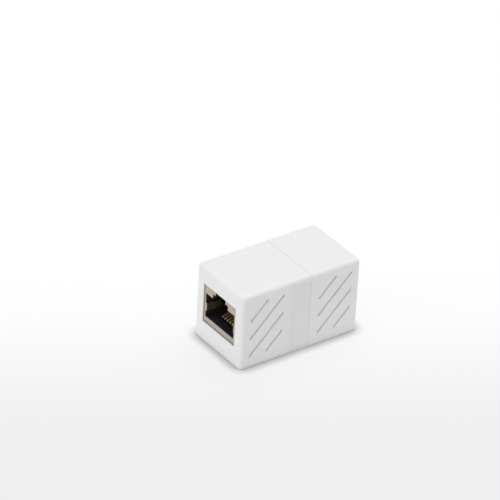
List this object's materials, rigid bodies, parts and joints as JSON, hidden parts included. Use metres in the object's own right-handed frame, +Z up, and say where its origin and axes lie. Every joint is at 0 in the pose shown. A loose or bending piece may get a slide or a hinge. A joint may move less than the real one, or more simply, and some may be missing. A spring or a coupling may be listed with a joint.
{
  "type": "rj45 inline coupler",
  "caption": "Inline coupler joining network patch cords end to end: shielded modular sockets back to back in a rounded plastic housing with a recessed belt and slanting side grooves.",
  "frame": {"origin": "middle of the base, on the surface that the coupler stands on", "axes": "+X along the length from the left socket to the right one, +Y across the width, +Z up; the left socket's mouth faces -X and its latch keyway is at the top"},
  "size_m": [0.035, 0.0194, 0.0205],
  "materials": {
    "housing": "pale grey-white moulded plastic, satin, very fine grain",
    "shield": "nickel-plated sheet metal, softly reflecting",
    "liner": "black moulded plastic",
    "carrier": "black moulded plastic",
    "contact": "gold-plated spring wire",
    "board": "glass-fibre laminate under green solder mask"
  },
  "bodies": {
    "root": {"housing_left": "housing", "housing_right": "housing", "circuit_board": "board", "shield_left": "shield", "liner_left": "liner", "contact_carrier_left": "carrier", "contact_left_1": "contact", "contact_left_2": "contact", "contact_left_3": "contact", "contact_left_4": "contact", "contact_left_5": "contact", "contact_left_6": "contact", "contact_left_7": "contact", "contact_left_8": "contact", "shield_right": "shield", "liner_right": "liner", "contact_carrier_right": "carrier", "contact_right_1": "contact", "contact_right_2": "contact", "contact_right_3": "contact", "contact_right_4": "contact", "contact_right_5": "contact", "contact_right_6": "contact", "contact_right_7": "contact", "contact_right_8": "contact"}
  },
  "joints": []
}
